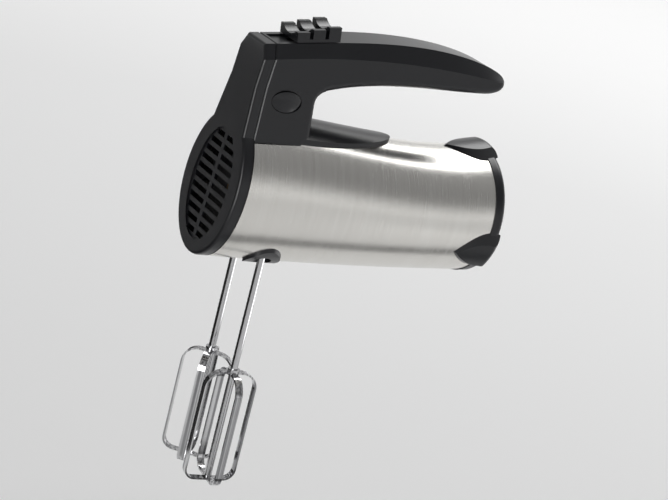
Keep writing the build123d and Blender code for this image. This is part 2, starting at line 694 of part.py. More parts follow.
def gear_case_lid():
    """Lid with bosses for the upper bushes, guide posts of the fork and posts up to the deck."""
    plate = RectangleRounded(2 * CASE_HALF_LENGTH, 2 * CASE_HALF_WIDTH, CASE_CORNER)
    lid = Pos(0, 0, LID_Z) * extrude(plate, amount=LID_THICK)
    for side in (-1, 1):
        shift = Pos(0, side * BEATER_SPACING / 2, 0)
        lid += shift * cyl(BOSS_R, LID_Z, LID_TOP_Z + LID_BOSS)
        lid -= shift * cyl(BUSH_R, 0, FAR)
        lid += Pos(0, side * GUIDE_POST_Y, 0) * cyl(GUIDE_POST_R, LID_TOP_Z, FORK_Z + FORK_THICK)
    for x, y in deck_post_places():
        post = Pos(x, y, 0) * cyl(DECK_POST_R, LID_TOP_Z, FAR)
        post -= Pos(x, y, 0) * cyl(HANDLE_SCREW_R, LID_TOP_Z - FAR, FAR)
        lid -= Pos(x, y, 0) * cyl(HANDLE_SCREW_R, 0, FAR)
        lid += behind(post, deck_plane())
    return lid


def spindle_bushes():
    """Four plain bushes, two for each spindle."""
    bushes = []
    for side in (-1, 1):
        shift = Pos(0, side * BEATER_SPACING / 2, 0)
        bore_r = SPINDLE_R + RUNNING_GAP
        bushes.append(shift * tube(BUSH_R, bore_r, BOSS_BOTTOM_Z, -CASE_HALF_HEIGHT + CASE_WALL))
        bushes.append(shift * tube(BUSH_R, bore_r, LID_Z, LID_TOP_Z + LID_BOSS))
    return Compound(children=bushes)


def shaft_bushes():
    """Two plain bushes that carry the shaft in the end walls of the gear case."""
    bush = tube(SHAFT_R + BUSH_WALL, SHAFT_R + RUNNING_GAP, -CASE_WALL / 2, CASE_WALL / 2, "X")
    x = CASE_HALF_LENGTH - CASE_WALL / 2
    return Compound(children=[Pos(-x, 0, 0) * bush, Pos(x, 0, 0) * bush])


# Drive

def worm():
    """Single-start worm, a trapezoid thread on a sleeve that is fixed on the shaft."""
    pitch = pi * GEAR_MODULE
    length = WORM_TURNS * pitch
    path = Helix(pitch=pitch, height=length, radius=WORM_PITCH_R)
    frame = Plane(origin=path @ 0, x_dir=(1, 0, 0), z_dir=path % 0)
    crest = WORM_TIP_R - WORM_PITCH_R
    root = WORM_ROOT_R - WORM_PITCH_R - WORM_ROOM * GEAR_MODULE
    thin = pitch * WORM_THREAD_SHARE / 2 - crest * tan(radians(PRESSURE_ANGLE))
    thick = pitch * WORM_THREAD_SHARE / 2 - root * tan(radians(PRESSURE_ANGLE))
    profile = make_face(Polyline((root, -thick), (crest, -thin), (crest, thin), (root, thick), close=True))
    thread = sweep(frame * profile, path=path, is_frenet=True)
    core = cyl(WORM_ROOT_R, -pitch, length + pitch)
    screw = thread + core - cyl(SHAFT_R, -FAR, FAR)
    return Pos(-length / 2, 0, 0) * Rot(0, 90, 0) * Rot(0, 0, 90) * screw


def worm_wheel(side):
    """Worm wheel with straight trapezoid teeth, on its spindle."""
    points = []
    step = 2 * pi / WHEEL_TEETH
    phase = -pi / 2 if side > 0 else pi / 2 + step / 2
    root_half = step * TOOTH_ROOT_SHARE
    tip_half = step * TOOTH_TIP_SHARE
    for tooth in range(WHEEL_TEETH):
        middle = phase + tooth * step
        for radius, turn in ((WHEEL_ROOT_R, -root_half), (WHEEL_TIP_R, -tip_half),
                             (WHEEL_TIP_R, tip_half), (WHEEL_ROOT_R, root_half)):
            points.append((radius * cos(middle + turn), radius * sin(middle + turn)))
    wheel = extrude(make_face(Polyline(*points, close=True)), amount=WHEEL_WIDTH / 2, both=True)
    wheel -= cyl(SPINDLE_R, -FAR, FAR)
    return Pos(0, side * BEATER_SPACING / 2, 0) * wheel


def spindle(side):
    """Hollow spindle: bore for the beater, cross slots for its wings at the mouth."""
    bar = cyl(SPINDLE_R, SPINDLE_MOUTH_Z, SPINDLE_TOP_Z) - cyl(BORE_R, -FAR, FAR)
    slot_z = SPINDLE_MOUTH_Z + WING_LENGTH + FREE_GAP
    wide, narrow = 2 * (WING_SPAN + WING_GAP), WING_THICK + 2 * WING_GAP
    for size in ((wide, narrow), (narrow, wide)):
        cut = Box(size[0], size[1], 2 * (slot_z - SPINDLE_MOUTH_Z))
        bar -= Rot(0, 0, cage_turn(side)) * Pos(0, 0, SPINDLE_MOUTH_Z) * cut
    return Pos(0, side * BEATER_SPACING / 2, 0) * bar


def ejector_pin(side):
    """Pin in the spindle's bore that pushes the beater out, with a head for the fork."""
    stem = cyl(PIN_R, BEATER_TOP_Z + FORK_CLEARANCE, PIN_HEAD_Z)
    head = cyl(SPINDLE_R, PIN_HEAD_Z, PIN_HEAD_Z + PIN_HEAD)
    return Pos(0, side * BEATER_SPACING / 2, 0) * (stem + head)


def cage_turn(side):
    """Angle of a cage about its shaft. The cages turn opposite ways and pass between each other."""
    return LEFT_CAGE_TURN if side < 0 else CAGE_PHASE - LEFT_CAGE_TURN


def strip_loop(width, top, bottom):
    """One loop of flat strip: round shoulders above, tighter toes below."""
    def outline(inset):
        half = width / 2 - inset
        shoulder, toe = CAGE_SHOULDER_R - inset, CAGE_TOE_R - inset
        high, low = top - inset, bottom + inset
        with BuildSketch(Plane.XZ) as loop:
            with Locations((0, (high + low) / 2)):
                Rectangle(2 * half, high - low)
            fillet(loop.vertices().sort_by(Axis.Y)[:2], toe)
            fillet(loop.vertices().sort_by(Axis.Y)[-2:], shoulder)
        return loop.sketch
    ring = outline(0) - outline(STRIP_THICK)
    return extrude(ring, amount=STRIP_WIDTH / 2, both=True)


def beater_shaft(side):
    """Steel rod with a retaining groove near its top and four drive wings at the mouth."""
    rod = cyl(BEATER_SHAFT_R, TIP_Z + 2 * STRIP_THICK, BEATER_TOP_Z)
    groove_z = BEATER_TOP_Z - GROOVE_DROP
    rod -= tube(2 * BEATER_SHAFT_R, BEATER_SHAFT_R - GROOVE_DEPTH, groove_z - GROOVE_WIDTH, groove_z)
    for size in ((2 * WING_SPAN, WING_THICK), (WING_THICK, 2 * WING_SPAN)):
        rod += Pos(0, 0, SPINDLE_MOUTH_Z + WING_LENGTH / 2) * Box(size[0], size[1], WING_LENGTH)
    return Pos(0, side * BEATER_SPACING / 2, 0) * Rot(0, 0, cage_turn(side)) * rod


def beater_loop(side, inner):
    """Outer or inner loop of a cage; the inner one lies inside the outer at both crossings."""
    shrink = STRIP_THICK if inner else 0.0
    top_z = CAGE_TOP_Z - shrink
    loop = strip_loop(CAGE_WIDTH, top_z, TIP_Z + shrink)
    loop += cyl(BEATER_SHAFT_R + EYE_WALL, top_z - STRIP_THICK, top_z)
    loop -= cyl(BEATER_SHAFT_R, TIP_Z + 2 * STRIP_THICK, FAR)
    turn = cage_turn(side) + (90 if inner else 0)
    return Pos(0, side * BEATER_SPACING / 2, 0) * Rot(0, 0, turn) * loop


def beater_hub(side):
    """Small pressed hub that holds the loops on the shaft at the top of the cage."""
    hub = tube(RIVET_R, BEATER_SHAFT_R, CAGE_TOP_Z, CAGE_TOP_Z + RIVET_HEIGHT)
    return Pos(0, side * BEATER_SPACING / 2, 0) * hub


# Motor


def motor_screw_places():
    z = STACK_HALF_HEIGHT - STACK_SCREW_EDGE
    return ((0.0, -z), (0.0, z))


def coil_y():
    return CORE_R + AIR_GAP + COIL_LINER + COIL_WIDTH / 2


def coil_z():
    return POLE_HALF_HEIGHT + COIL_HEIGHT / 2


def motor_stator():
    """Stack of steel sheets with a bore for the armature and four windows for the coils."""
    sheet = RectangleRounded(2 * STACK_HALF_WIDTH, 2 * STACK_HALF_HEIGHT, STACK_CORNER)
    sheet -= Circle(CORE_R + AIR_GAP)
    window = Rectangle(COIL_WIDTH + 2 * COIL_LINER, COIL_HEIGHT + 2 * COIL_LINER)
    for side in (-1, 1):
        for rise in (-1, 1):
            sheet -= Pos(side * coil_y(), rise * coil_z()) * window
    for y, z in motor_screw_places():
        sheet -= Pos(y, z) * Circle(MOTOR_SCREW_R)
    return Pos(STACK_FRONT_X, 0, 0) * extrude(Plane.YZ * sheet, amount=STACK_LENGTH)


def field_coils():
    """Two field windings, each a rounded ring through two windows of the stack."""
    ring_length = STACK_LENGTH + 2 * COIL_LINER + 2 * COIL_HEIGHT
    outer = RectangleRounded(ring_length, 2 * coil_z() + COIL_HEIGHT, COIL_CORNER)
    inner = Rectangle(STACK_LENGTH + 2 * COIL_LINER, 2 * POLE_HALF_HEIGHT)
    ring = extrude(Plane.XZ * (outer - inner), amount=COIL_WIDTH / 2, both=True)
    x = STACK_FRONT_X + STACK_LENGTH / 2
    return Compound(children=[Pos(x, side * coil_y(), 0) * ring for side in (-1, 1)])


def armature_shaft():
    return cyl(SHAFT_R, -CASE_HALF_LENGTH, SHAFT_BACK_X, "X")


def slot_ring(start, depth, width):
    """Rectangles set round the core, one in each slot, from a radius inwards by a depth."""
    bar = Pos(start - depth / 2, 0) * Rectangle(depth, width)
    return [Rot(0, 0, i * 360 / CORE_SLOTS) * bar for i in range(CORE_SLOTS)]


def armature_core():
    """Slotted stack of sheets on the shaft."""
    sheet = Circle(CORE_R) - Circle(SHAFT_R)
    for slot in slot_ring(CORE_R + SLOT_WIDTH, SLOT_DEPTH + SLOT_WIDTH, SLOT_WIDTH):
        sheet -= slot
    return Pos(STACK_FRONT_X, 0, 0) * extrude(Plane.YZ * sheet, amount=STACK_LENGTH)


def armature_winding():
    """Copper in the slots, with a ring of end turns at each end."""
    ring_r = CORE_R - SLOT_LINER
    wire = tube(ring_r, SHAFT_R + BUSH_WALL, STACK_FRONT_X - END_TURN, STACK_FRONT_X, "X")
    wire += tube(ring_r, SHAFT_R + BUSH_WALL, STACK_BACK_X, STACK_BACK_X + END_TURN, "X")
    for bar in slot_ring(ring_r, SLOT_DEPTH - 2 * SLOT_LINER, SLOT_WIDTH - 2 * SLOT_LINER):
        wire += Pos(STACK_FRONT_X, 0, 0) * extrude(Plane.YZ * bar, amount=STACK_LENGTH)
    return wire


def commutator():
    """Copper bars round an insulating sleeve, marked off by narrow grooves."""
    ring = Circle(COMM_R) - Circle(SHAFT_R)
    for i in range(COMM_BARS):
        ring -= Rot(0, 0, i * 360 / COMM_BARS) * Pos(COMM_R, 0) * Rectangle(COMM_GROOVE * 2, COMM_GROOVE)
    return Pos(COMM_X, 0, 0) * extrude(Plane.YZ * ring, amount=COMM_LENGTH)


def cooling_fan():
    """Radial fan on the shaft between gear case and motor."""
    back = FAN_X + FAN_DEPTH
    fan = cyl(FAN_HUB_R, FAN_X, back, "X") + cyl(fan_r(), back - FAN_DISC, back, "X")
    blade = block(FAN_X, back, FAN_HUB_R - LAP, fan_r(), -FAN_BLADE_THICK / 2, FAN_BLADE_THICK / 2)
    for i in range(FAN_BLADES):
        fan += Rot(i * 360 / FAN_BLADES, 0, 0) * blade
    return fan - cyl(SHAFT_R, -FAR, FAR, "X")


def fan_r():
    return motor_screw_places()[1][1] - SCREW_EAR_R - FAN_ROOM


def motor_bracket():
    """Rear bridge of the motor: legs on the stack, a cross of two bars and the bearing seat."""
    z = motor_screw_places()[1][1]
    back = BRACKET_X + BRACKET_THICK
    frame = block(BRACKET_X, back, -SCREW_EAR_R, SCREW_EAR_R, -z - SCREW_EAR_R, z + SCREW_EAR_R)
    frame += block(BRACKET_X, back, -brush_end(), brush_end(), -SCREW_EAR_R, SCREW_EAR_R)
    frame += cyl(BEARING_R + BEARING_SEAT, BRACKET_X, BRACKET_X + BEARING_LENGTH, "X")
    for y, z in motor_screw_places():
        frame += Pos(0, y, z) * cyl(SCREW_EAR_R, STACK_BACK_X, back, "X")
    for y, z in motor_screw_places():
        frame -= Pos(0, y, z) * cyl(MOTOR_SCREW_R, 0, FAR, "X")
    frame -= Pos(0, 0, CAP_SCREW_Z) * cyl(CAP_SCREW_R, 0, FAR, "X")
    return frame - cyl(BEARING_R, 0, FAR, "X")


def rear_bearing():
    return tube(BEARING_R, SHAFT_R + RUNNING_GAP, BRACKET_X, BRACKET_X + BEARING_LENGTH, "X")


def brush_end():
    return COMM_R + FREE_GAP + BRUSH_LENGTH + BRUSH_SPRING + BRUSH_TUBE


def brush_middle_x():
    return COMM_X + COMM_LENGTH / 2


def brush_holders():
    """Two square tubes for the brushes, each with a foot on the rear bridge."""
    x = brush_middle_x()
    half_x, half_z = BRUSH_WIDTH / 2 + BRUSH_TUBE, BRUSH_HEIGHT / 2 + BRUSH_TUBE
    holder = block(x - half_x, x + half_x, COMM_R + BRUSH_TIP, brush_end(), -half_z, half_z)
    holder += block(x, BRACKET_X, brush_end() - BRUSH_SPRING, brush_end(), -half_z, half_z)
    holder -= block(x - BRUSH_WIDTH / 2, x + BRUSH_WIDTH / 2, 0, brush_end() - BRUSH_TUBE,
                    -BRUSH_HEIGHT / 2, BRUSH_HEIGHT / 2)
    return Compound(children=[holder, mirror(holder, about=Plane.XZ)])


def carbon_brushes():
    """Two carbon brushes that stand just off the commutator."""
    x = brush_middle_x()
    half_x, half_z = BRUSH_WIDTH / 2 - RUNNING_GAP, BRUSH_HEIGHT / 2 - RUNNING_GAP
    brush = block(x - half_x, x + half_x, 0, COMM_R + FREE_GAP + BRUSH_LENGTH, -half_z, half_z)
    brush -= cyl(COMM_R + FREE_GAP, 0, FAR, "X")
    return Compound(children=[brush, mirror(brush, about=Plane.XZ)])


def brush_springs():
    """Two light springs that press the brushes inwards."""
    coil = spring(BRUSH_HEIGHT / 2 - SPRING_WIRE, SPRING_WIRE, BRUSH_SPRING, BRUSH_SPRING_TURNS)
    start = COMM_R + FREE_GAP + BRUSH_LENGTH
    coil = Pos(brush_middle_x(), start, 0) * Rot(-90, 0, 0) * coil
    return Compound(children=[coil, mirror(coil, about=Plane.XZ)])


def screw(radius, length):
    """A screw along +Z: head below z = 0, shank above."""
    return cyl(radius, 0, length) + cyl(SCREW_HEAD_RATIO * radius, -SCREW_HEAD, 0)


def motor_screws():
    """Two long screws from the rear bridge through the stack into the gear case."""
    back = BRACKET_X + BRACKET_THICK
    length = back - CASE_HALF_LENGTH - EAR_PLATE
    long_screw = Rot(0, -90, 0) * screw(MOTOR_SCREW_R, length)
    return Compound(children=[Pos(back, y, z) * long_screw for y, z in motor_screw_places()])


def handle_screws():
    """Four screws from the gear case lid up its posts into the handle."""
    screws = []
    for x, y in deck_post_places():
        length = deck_height(x) + WALL + SCREW_BITE - LID_Z
        screws.append(Pos(x, y, LID_Z) * screw(HANDLE_SCREW_R, length))
    return Compound(children=screws)


def cap_screw():
    """One screw from the back of the rear cap, down its post, into the rear bridge."""
    back = CAP_FRONT_X + CAP_LENGTH - CAP_WALL
    length = back - BRACKET_X
    return Pos(back, 0, CAP_SCREW_Z) * Rot(0, -90, 0) * screw(CAP_SCREW_R, length)


# Controls

def deck_post_places():
    return [(x, y) for x in (-DECK_POST_X, DECK_POST_X) for y in (-DECK_POST_Y, DECK_POST_Y)]


def button_face():
    """Half width of the pillar at the height of the release button."""
    return GRIP_HALF_WIDTH + PILLAR_FLARE * (PILLAR_FLARE_TOP - BUTTON_Z) / (PILLAR_FLARE_TOP - DECK_Z)


def eject_button():
    """Oval release button with a crowned face and a stem that ends in a 45 degree wedge."""
    face = button_face() + BUTTON_PROUD
    place = Plane(origin=(BUTTON_X, -face, BUTTON_Z), x_dir=(1, 0, 0), z_dir=(0, 1, 0))
    button = extrude(place * Ellipse(BUTTON_HALF_LENGTH, BUTTON_HALF_HEIGHT), amount=BUTTON_THICK)
    half = STEM_SIZE / 2
    stem = block(-half, half, BUTTON_THICK - face, half, -half, half)
    stem = Pos(BUTTON_X, 0, BUTTON_Z) * stem & wedge_upper(0)
    crown_r = (BUTTON_HALF_LENGTH ** 2 + BUTTON_CROWN ** 2) / (2 * BUTTON_CROWN)
    crown = Pos(BUTTON_X, crown_r - face, BUTTON_Z) * Sphere(crown_r)
    return (button & crown) + stem


def wedge_upper(lower_by):
    """The space above the sloping contact of button and fork."""
    plane = Plane(origin=(0, 0, BUTTON_Z - lower_by), x_dir=(1, 0, 0), z_dir=(0, -1, 1))
    return plane * Pos(0, 0, FAR / 2) * Box(FAR, FAR, FAR)


def ejector_fork():
    """Fork over the two spindles: a bar on the pins, guided by two posts, and a stem to the wedge."""
    end = BEATER_SPACING / 2 + SPINDLE_R
    fork = block(-FORK_WIDTH / 2, FORK_WIDTH / 2, -end, end, FORK_Z, FORK_Z + FORK_THICK)
    half = STEM_SIZE / 2
    fork += block(BUTTON_X - half, 0, -half, half, FORK_Z, FORK_Z + FORK_THICK)
    stem = block(BUTTON_X - half, BUTTON_X + half, -half, half, FORK_Z, BUTTON_Z + 2 * STEM_SIZE)
    fork += stem - wedge_upper(FREE_GAP * sqrt(2))
    for side in (-1, 1):
        fork -= Pos(0, side * GUIDE_POST_Y, 0) * cyl(GUIDE_POST_R + FREE_GAP, 0, FAR)
    return fork


def release_spring():
    """Spring between the gear case lid and the fork."""
    coil = spring(RELEASE_SPRING_R - SPRING_WIRE / 2, SPRING_WIRE, FORK_Z - LID_TOP_Z, RELEASE_SPRING_TURNS)
    return Pos(0, 0, LID_TOP_Z) * coil


def switch_x():
    return -SLIDE_TRAVEL / 2


def speed_slide():
    """Thumb slide: a flat base, three ribs that step up to the rear, and a leg into the switch."""
    base_top = FREE_GAP + SLIDE_BASE
    slide = Pos(0, 0, FREE_GAP + SLIDE_BASE / 2) * Box(SLIDE_LENGTH, SLIDE_WIDTH, SLIDE_BASE)
    pitch = (SLIDE_LENGTH - RIB_LENGTH) / (SLIDE_RIBS - 1)
    chord = SLIDE_WIDTH / 2 - RIB_WING
    dish_r = (chord ** 2 + RIB_DISH ** 2) / (2 * RIB_DISH)
    for i in range(SLIDE_RIBS):
        height = RIB_FRONT_HEIGHT + i * RIB_STEP
        x = -SLIDE_LENGTH / 2 + RIB_LENGTH / 2 + i * pitch
        rib = Pos(x, 0, base_top + height / 2) * Box(RIB_LENGTH, SLIDE_WIDTH, height)
        scoop = cyl(dish_r, -RIB_LENGTH, RIB_LENGTH, "X")
        slide += rib - Pos(x, 0, base_top + height - RIB_DISH + dish_r) * scoop
    leg_low = -SWITCH_DROP - LEG_BITE
    leg = Box(SLIDE_LEG_LENGTH, SLIDE_LEG_WIDTH, base_top - leg_low)
    slide += Pos(0, 0, (base_top + leg_low) / 2) * leg
    return slide_frame() * slide


def speed_switch():
    """Switch block on two posts under the grip, with a slot for the leg of the slide."""
    body = Pos(0, 0, -SWITCH_DROP - SWITCH_HEIGHT / 2) * Box(SWITCH_LENGTH, SWITCH_WIDTH, SWITCH_HEIGHT)
    room = SLIDE_LEG_LENGTH + SLIDE_TRAVEL + 2 * FREE_GAP
    slot = Pos(0, 0, -SWITCH_DROP) * Box(room, SLIDE_LEG_WIDTH + 2 * FREE_GAP, 2 * (LEG_BITE + FREE_GAP))
    return slide_frame() * Pos(switch_x(), 0, 0) * (body - slot)


def write_parts():
    """Write one file for each piece, about the middle of the hand grip."""
    form = handle_form()
    cavity = handle_cavity()
    lower, upper = handle_halves(form, cavity)
    pieces = {
        "front_cover": front_cover(form, cavity),
        "steel_sleeve": steel_sleeve(),
        "handle_body": handle_body(lower),
        "handle_top": handle_top(upper),
        "rear_cap": rear_cap(),
        "cord_gland": cord_gland(),
        "gear_case": gear_case(),
        "gear_case_lid": gear_case_lid(),
        "spindle_bushes": spindle_bushes(),
        "shaft_bushes": shaft_bushes(),
        "motor_stator": motor_stator(),
        "field_coils": field_coils(),
        "motor_bracket": motor_bracket(),
        "rear_bearing": rear_bearing(),
        "brush_holders": brush_holders(),
        "carbon_brushes": carbon_brushes(),
        "brush_springs": brush_springs(),
        "motor_screws": motor_screws(),
        "handle_screws": handle_screws(),
        "cap_screw": cap_screw(),
        "speed_switch": speed_switch(),
        "speed_slide": speed_slide(),
        "eject_button": eject_button(),
        "ejector_fork": ejector_fork(),
        "release_spring": release_spring(),
        "armature_shaft": armature_shaft(),
        "worm": worm(),
        "cooling_fan": cooling_fan(),
        "armature_core": armature_core(),
        "armature_winding": armature_winding(),
        "commutator": commutator(),
    }
    for name, side in (("left", -1), ("right", 1)):
        pieces[name + "_socket_collar"] = socket_collar(side)
        pieces[name + "_spindle"] = spindle(side)
        pieces[name + "_worm_wheel"] = worm_wheel(side)
        pieces[name + "_ejector_pin"] = ejector_pin(side)
        pieces[name + "_beater_shaft"] = beater_shaft(side)
        pieces[name + "_beater_outer_loop"] = beater_loop(side, False)
        pieces[name + "_beater_inner_loop"] = beater_loop(side, True)
        pieces[name + "_beater_hub"] = beater_hub(side)
    os.makedirs("parts", exist_ok=True)
    for name, piece in pieces.items():
        export_step(Pos(-GRIP_X, 0, -GRIP_Z) * piece, f"parts/{name}.step")


write_parts()
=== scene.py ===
import bpy
import json
from math import cos, radians, sin
from mathutils import Matrix, Vector


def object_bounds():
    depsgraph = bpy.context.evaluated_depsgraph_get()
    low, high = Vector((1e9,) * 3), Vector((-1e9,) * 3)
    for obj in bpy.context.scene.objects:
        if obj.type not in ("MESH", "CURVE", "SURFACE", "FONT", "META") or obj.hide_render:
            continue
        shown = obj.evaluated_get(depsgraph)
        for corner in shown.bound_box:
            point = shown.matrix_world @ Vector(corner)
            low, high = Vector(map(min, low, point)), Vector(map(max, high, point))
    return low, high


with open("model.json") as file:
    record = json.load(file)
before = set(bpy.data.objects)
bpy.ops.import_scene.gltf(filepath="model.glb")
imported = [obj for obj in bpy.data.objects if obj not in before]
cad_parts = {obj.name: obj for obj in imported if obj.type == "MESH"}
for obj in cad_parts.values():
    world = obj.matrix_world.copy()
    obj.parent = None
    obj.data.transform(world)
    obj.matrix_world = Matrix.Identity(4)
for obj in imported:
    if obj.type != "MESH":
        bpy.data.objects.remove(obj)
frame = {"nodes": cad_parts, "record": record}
cad_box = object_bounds()

# Motor core
# Stator and armature core are stacks of punched electrical steel, dull grey with each sheet's edge
# showing. Two long screws clamp the stator to the gear case, and the core is pressed on the shaft.


class Wire:
    """A value on its way through a finish; sums on it add the nodes that work it out."""

    def __init__(self, tree, socket=None):
        self.tree = tree
        self.socket = socket

    def node(self, kind, settings=None, inputs=None, out=0):
        """Adds one node: its type, its settings, then the values or links of its sockets."""
        added = self.tree.nodes.new("ShaderNode" + kind)
        for name, value in (settings or {}).items():
            if name == "stops":
                lay_stops(added.color_ramp, value)
            else:
                setattr(added, name, value)
        for name, value in (inputs or {}).items():
            if isinstance(value, Wire):
                self.tree.links.new(value.socket, added.inputs[name])
            else:
                added.inputs[name].default_value = value
        return Wire(self.tree, added.outputs[out])

    def sum_of(self, operation, first, second):
        """Adds one Math node on two values."""
        return self.node("Math", {"operation": operation}, {0: first, 1: second})

    def __add__(self, other):
        return self.sum_of("ADD", self, other)

    def __radd__(self, other):
        return self.sum_of("ADD", other, self)

    def __sub__(self, other):
        return self.sum_of("SUBTRACT", self, other)

    def __rsub__(self, other):
        return self.sum_of("SUBTRACT", other, self)

    def __mul__(self, other):
        return self.sum_of("MULTIPLY", self, other)

    def __rmul__(self, other):
        return self.sum_of("MULTIPLY", other, self)


def lay_stops(ramp, stops):
    """Sets a ramp's stops from pairs of place and grey level."""
    while len(ramp.elements) < len(stops):
        ramp.elements.new(0.5)
    for element, (place, level) in zip(ramp.elements, stops):
        element.position = place
        element.color = (level, level, level, 1.0)


def finish(name, **constants):
    """A new finish: its material, a wire to build from and its shader with constant values set."""
    material = bpy.data.materials.new(name)
    material.use_nodes = True
    tree = material.node_tree
    shader = tree.nodes["Principled BSDF"]
    for socket, value in constants.items():
        shader.inputs[socket.replace("_", " ")].default_value = value
    return material, Wire(tree), shader


def feed(shader, wire, socket):
    """Links a worked-out value to one of the shader's sockets."""
    wire.tree.links.new(wire.socket, shader.inputs[socket])


def grain(wire, per_metre, detail=3.0):
    """Soft random grain from 0 to 1, with its count per metre along x, y and z."""
    spot = wire.node("TexCoord", out="Object")
    spot = wire.node("VectorMath", {"operation": "MULTIPLY"}, {0: spot, 1: per_metre})
    return wire.node("TexNoise", {}, {"Vector": spot, "Scale": 1.0, "Detail": detail})


def even(count):
    """The same grain along x, y and z."""
    return count, count, count


def picked(wire, *stops):
    """A value bent by stops, each a place and the level that it takes there."""
    return wire.node("ValToRGB", {"stops": stops}, {0: wire})


def tint(low, high, share):
    """A colour between two, by a share from 0 to 1."""
    return share.node("Mix", {"data_type": "RGBA"}, {0: share, 6: (*low, 1.0), 7: (*high, 1.0)}, out=2)


def relief(height, strength, distance):
    """Small relief on the surface, from a height and a depth in metres."""
    return height.node("Bump", {}, {"Strength": strength, "Distance": distance, "Height": height})


STAINS = even(120.0)
INNER_RELIEF = 0.00005


def inner_finish(name, low, high, rough, per_metre, metal=0.0):
    """A finish for inner pieces: two close colours in the grain of how the piece is made, and stains."""
    material, wire, shader = finish(name, Metallic=metal)
    fine = grain(wire, per_metre)
    stain = grain(wire, STAINS)
    feed(shader, tint(low, high, 0.7 * fine + 0.3 * stain), "Base Color")
    feed(shader, rough + 0.12 * fine + 0.1 * stain, "Roughness")
    feed(shader, relief(fine, 0.3, INNER_RELIEF), "Normal")
    return material


def wear(material, *nodes):
    """Gives a finish to solids of the frame."""
    for name in nodes:
        slots = frame["nodes"][name].data.materials
        slots.clear()
        slots.append(material)


SHEETS_ALONG_X = (2000.0, 40.0, 40.0)
SHEET_DARK, SHEET_LIGHT = (0.1, 0.1, 0.11), (0.22, 0.22, 0.23)
core_steel = inner_finish("core_steel", SHEET_DARK, SHEET_LIGHT, 0.4, SHEETS_ALONG_X, metal=0.8)
wear(core_steel, "motor_stator", "armature_core")

# Windings and commutator
# Enamelled copper wire laid along the motor, red brown, and bare copper bars where the brushes run,
# pressed on the shaft beside the core.

WIRES_ALONG_X = (50.0, 1500.0, 1500.0)
ENAMEL_DARK, ENAMEL_LIGHT = (0.3, 0.1, 0.04), (0.52, 0.21, 0.09)
winding = inner_finish("winding", ENAMEL_DARK, ENAMEL_LIGHT, 0.3, WIRES_ALONG_X, metal=0.7)
wear(winding, "field_coils", "armature_winding")
TURNED_ALONG_X = (1800.0, 60.0, 60.0)
COPPER_DARK, COPPER_LIGHT = (0.5, 0.22, 0.12), (0.68, 0.34, 0.2)
copper = inner_finish("copper", COPPER_DARK, COPPER_LIGHT, 0.25, TURNED_ALONG_X, metal=1.0)
wear(copper, "commutator")

# Turned steel, screws and springs
# The shaft, the worm, the spindles and the ejector pins are turned from bar and keep the tool's fine
# rings. The screws and springs are zinc plated.

TURNED_ALONG_Z = (60.0, 60.0, 1800.0)
STEEL_DARK, STEEL_LIGHT = (0.42, 0.42, 0.43), (0.6, 0.6, 0.61)
shaft_steel = inner_finish("shaft_steel", STEEL_DARK, STEEL_LIGHT, 0.2, TURNED_ALONG_X, metal=1.0)
wear(shaft_steel, "armature_shaft", "worm")
spindle_steel = inner_finish("spindle_steel", STEEL_DARK, STEEL_LIGHT, 0.2, TURNED_ALONG_Z, metal=1.0)
wear(spindle_steel, "left_spindle", "right_spindle", "left_ejector_pin", "right_ejector_pin")
ZINC_DARK, ZINC_LIGHT = (0.48, 0.48, 0.45), (0.62, 0.62, 0.6)
zinc = inner_finish("zinc", ZINC_DARK, ZINC_LIGHT, 0.3, even(900.0), metal=1.0)
wear(zinc, "motor_screws", "handle_screws", "cap_screw", "release_spring", "brush_springs")

# Bushes, brushes and resin pieces
# Sintered bronze bushes pressed in their seats, and carbon brushes that slide in brown resin holders.

BRONZE_DARK, BRONZE_LIGHT = (0.16, 0.11, 0.06), (0.27, 0.19, 0.11)
bronze = inner_finish("bronze", BRONZE_DARK, BRONZE_LIGHT, 0.45, even(2500.0), metal=0.9)
wear(bronze, "spindle_bushes", "shaft_bushes", "rear_bearing")
CARBON_DARK, CARBON_LIGHT = (0.015, 0.015, 0.017), (0.05, 0.05, 0.052)
carbon = inner_finish("carbon", CARBON_DARK, CARBON_LIGHT, 0.5, even(3000.0))
wear(carbon, "carbon_brushes")
RESIN_DARK, RESIN_LIGHT = (0.06, 0.03, 0.017), (0.12, 0.066, 0.038)
resin = inner_finish("resin", RESIN_DARK, RESIN_LIGHT, 0.4, even(700.0))
wear(resin, "brush_holders", "speed_switch")

# Motor bracket
# Die-cast alloy with the faintly mottled skin that the mould leaves, screwed to the stator.

CAST_DARK, CAST_LIGHT = (0.4, 0.41, 0.42), (0.6, 0.61, 0.62)
cast_alloy = inner_finish("cast_alloy", CAST_DARK, CAST_LIGHT, 0.4, even(700.0), metal=0.9)
wear(cast_alloy, "motor_bracket")

# Gear case and lid
# Charcoal nylon filled with short glass fibres, which lie along the case as the melt ran.

FIBRES_ALONG_X = (300.0, 1700.0, 1700.0)
CHARCOAL_DARK, CHARCOAL_LIGHT = (0.012, 0.012, 0.013), (0.04, 0.04, 0.042)
fibre_nylon = inner_finish("fibre_nylon", CHARCOAL_DARK, CHARCOAL_LIGHT, 0.5, FIBRES_ALONG_X)
wear(fibre_nylon, "gear_case", "gear_case_lid")

# Worm wheels, fan and release fork
# Natural nylon mouldings, off white and slightly waxy. The wheels and the fan are pressed on their
# shafts, and the fork slides on posts of the gear case.

NYLON_DARK, NYLON_LIGHT = (0.68, 0.66, 0.58), (0.8, 0.79, 0.74)
nylon = inner_finish("nylon", NYLON_DARK, NYLON_LIGHT, 0.35, even(450.0))
wear(nylon, "left_worm_wheel", "right_worm_wheel", "cooling_fan", "ejector_fork")

# Steel sleeve
# Thin stainless sheet, drawn to an oval and brushed round the body, so the light spreads along
# its length. It is held between the front cover and the rear cap.

